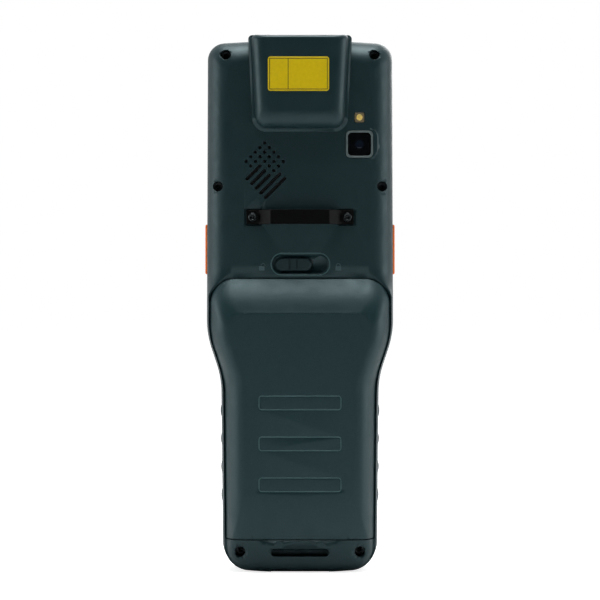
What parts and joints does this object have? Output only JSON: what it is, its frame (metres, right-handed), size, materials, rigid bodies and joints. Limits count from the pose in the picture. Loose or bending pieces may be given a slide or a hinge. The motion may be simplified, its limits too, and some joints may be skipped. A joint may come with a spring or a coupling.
{
  "type": "handheld barcode data terminal",
  "caption": "Handheld barcode data terminal with a scanner hump, touch display, keypad, side triggers, strap bracket and a latched battery cover.",
  "frame": {"origin": "under the middle of the bottom end, on the plane that it stands on", "axes": "+Z along the length to the scanner end, +Y out of the display, -Y out of the back, +X to the right as seen from the back"},
  "size_m": [0.0692, 0.029, 0.1931],
  "materials": {
    "case_plastic": "fine spark-textured dark grey-green plastic",
    "grip_rubber": "matt soft rubber",
    "seal_rubber": "matt rubber",
    "orange_plastic": "orange satin plastic",
    "key_plastic": "dark satin keys with light legends",
    "glass": "dark glass",
    "black_steel": "black coated steel",
    "sheet_steel": "bright sheet steel",
    "magnesium": "cast light metal",
    "circuit_board": "green circuit board",
    "module_black": "black module housing",
    "battery_wrap": "dark battery case",
    "gold_contact": "gold-plated contacts",
    "label_yellow": "blank yellow plate",
    "flash_yellow": "yellow phosphor",
    "flash_clear": "clear moulded lens",
    "mesh": "fine black mesh"
  },
  "bodies": {
    "housing": {"rear_housing": "case_plastic", "front_housing": "case_plastic", "scan_cover": "case_plastic", "side_grip_left": "grip_rubber", "side_grip_right": "grip_rubber", "case_seal": "seal_rubber", "battery_seal": "seal_rubber", "key_mat": "seal_rubber", "cover_glass": "glass", "camera_window": "glass", "scan_window": "glass", "strap_bracket": "black_steel", "strap_screws": "black_steel", "case_screws": "black_steel", "camera_bezel": "black_steel", "scan_bracket": "sheet_steel", "shield_cans": "sheet_steel", "usb_connector": "sheet_steel", "dome_switches": "sheet_steel", "chassis": "magnesium", "main_board": "circuit_board", "keypad_board": "circuit_board", "side_switches": "circuit_board", "lcd_module": "module_black", "scan_engine": "module_black", "rear_camera": "module_black", "speaker": "module_black", "battery_pack": "battery_wrap", "battery_contacts": "gold_contact", "dock_contacts": "gold_contact", "label_plate": "label_yellow", "flash_led": "flash_yellow", "flash_lens": "flash_clear", "speaker_mesh": "mesh", "earpiece_mesh": "mesh"},
    "battery_cover": {"battery_cover": "case_plastic"},
    "latch": {"latch_slider": "case_plastic", "latch_tongue": "sheet_steel"},
    "usb_cover": {"usb_cover": "grip_rubber"},
    "trigger_left": {"trigger_left": "orange_plastic"},
    "trigger_right": {"trigger_right": "orange_plastic"},
    "key_scan": {"key_scan": "orange_plastic"},
    "key_side_left": {"key_side_left": "key_plastic"},
    "key_side_right": {"key_side_right": "key_plastic"},
    "key_menu": {"key_menu": "key_plastic"},
    "key_hash": {"key_hash": "key_plastic"},
    "key_zero": {"key_zero": "key_plastic"},
    "key_star": {"key_star": "key_plastic"},
    "key_back": {"key_back": "key_plastic"},
    "key_nine": {"key_nine": "key_plastic"},
    "key_eight": {"key_eight": "key_plastic"},
    "key_seven": {"key_seven": "key_plastic"},
    "key_shift": {"key_shift": "key_plastic"},
    "key_six": {"key_six": "key_plastic"},
    "key_five": {"key_five": "key_plastic"},
    "key_four": {"key_four": "key_plastic"},
    "key_enter": {"key_enter": "key_plastic"},
    "key_three": {"key_three": "key_plastic"},
    "key_two": {"key_two": "key_plastic"},
    "key_one": {"key_one": "key_plastic"}
  },
  "joints": [
    {"name": "battery_cover_hinge", "type": "hinge", "parent": "housing", "child": "battery_cover", "pos_m": [0, -0.0132, 0.0121], "axis": [1, 0, 0], "range_deg": [0, 70]},
    {"name": "latch_slide", "type": "slide", "parent": "housing", "child": "latch", "axis": [1, 0, 0], "range_m": [0, 0.00484]},
    {"name": "usb_cover_hinge", "type": "hinge", "parent": "housing", "child": "usb_cover", "pos_m": [0, 0.0099, 0.0001], "axis": [1, 0, 0], "range_deg": [0, 90], "stiffness_Nm_per_rad": 0.01},
    {"name": "trigger_left_press", "type": "slide", "parent": "housing", "child": "trigger_left", "axis": [1, 0, 0], "range_m": [0, 0.0008], "stiffness_N_per_m": 1800},
    {"name": "trigger_right_press", "type": "slide", "parent": "housing", "child": "trigger_right", "axis": [-1, 0, 0], "range_m": [0, 0.0008], "stiffness_N_per_m": 1800},
    {"name": "key_scan_press", "type": "slide", "parent": "housing", "child": "key_scan", "axis": [0, -1, 0], "range_m": [0, 0.0008], "stiffness_N_per_m": 1500},
    {"name": "key_side_left_press", "type": "slide", "parent": "housing", "child": "key_side_left", "axis": [0, -1, 0], "range_m": [0, 0.0008], "stiffness_N_per_m": 1500},
    {"name": "key_side_right_press", "type": "slide", "parent": "housing", "child": "key_side_right", "axis": [0, -1, 0], "range_m": [0, 0.0008], "stiffness_N_per_m": 1500},
    {"name": "key_menu_press", "type": "slide", "parent": "housing", "child": "key_menu", "axis": [0, -1, 0], "range_m": [0, 0.0008], "stiffness_N_per_m": 1500},
    {"name": "key_hash_press", "type": "slide", "parent": "housing", "child": "key_hash", "axis": [0, -1, 0], "range_m": [0, 0.0008], "stiffness_N_per_m": 1500},
    {"name": "key_zero_press", "type": "slide", "parent": "housing", "child": "key_zero", "axis": [0, -1, 0], "range_m": [0, 0.0008], "stiffness_N_per_m": 1500},
    {"name": "key_star_press", "type": "slide", "parent": "housing", "child": "key_star", "axis": [0, -1, 0], "range_m": [0, 0.0008], "stiffness_N_per_m": 1500},
    {"name": "key_back_press", "type": "slide", "parent": "housing", "child": "key_back", "axis": [0, -1, 0], "range_m": [0, 0.0008], "stiffness_N_per_m": 1500},
    {"name": "key_nine_press", "type": "slide", "parent": "housing", "child": "key_nine", "axis": [0, -1, 0], "range_m": [0, 0.0008], "stiffness_N_per_m": 1500},
    {"name": "key_eight_press", "type": "slide", "parent": "housing", "child": "key_eight", "axis": [0, -1, 0], "range_m": [0, 0.0008], "stiffness_N_per_m": 1500},
    {"name": "key_seven_press", "type": "slide", "parent": "housing", "child": "key_seven", "axis": [0, -1, 0], "range_m": [0, 0.0008], "stiffness_N_per_m": 1500},
    {"name": "key_shift_press", "type": "slide", "parent": "housing", "child": "key_shift", "axis": [0, -1, 0], "range_m": [0, 0.0008], "stiffness_N_per_m": 1500},
    {"name": "key_six_press", "type": "slide", "parent": "housing", "child": "key_six", "axis": [0, -1, 0], "range_m": [0, 0.0008], "stiffness_N_per_m": 1500},
    {"name": "key_five_press", "type": "slide", "parent": "housing", "child": "key_five", "axis": [0, -1, 0], "range_m": [0, 0.0008], "stiffness_N_per_m": 1500},
    {"name": "key_four_press", "type": "slide", "parent": "housing", "child": "key_four", "axis": [0, -1, 0], "range_m": [0, 0.0008], "stiffness_N_per_m": 1500},
    {"name": "key_enter_press", "type": "slide", "parent": "housing", "child": "key_enter", "axis": [0, -1, 0], "range_m": [0, 0.0008], "stiffness_N_per_m": 1500},
    {"name": "key_three_press", "type": "slide", "parent": "housing", "child": "key_three", "axis": [0, -1, 0], "range_m": [0, 0.0008], "stiffness_N_per_m": 1500},
    {"name": "key_two_press", "type": "slide", "parent": "housing", "child": "key_two", "axis": [0, -1, 0], "range_m": [0, 0.0008], "stiffness_N_per_m": 1500},
    {"name": "key_one_press", "type": "slide", "parent": "housing", "child": "key_one", "axis": [0, -1, 0], "range_m": [0, 0.0008], "stiffness_N_per_m": 1500}
  ]
}
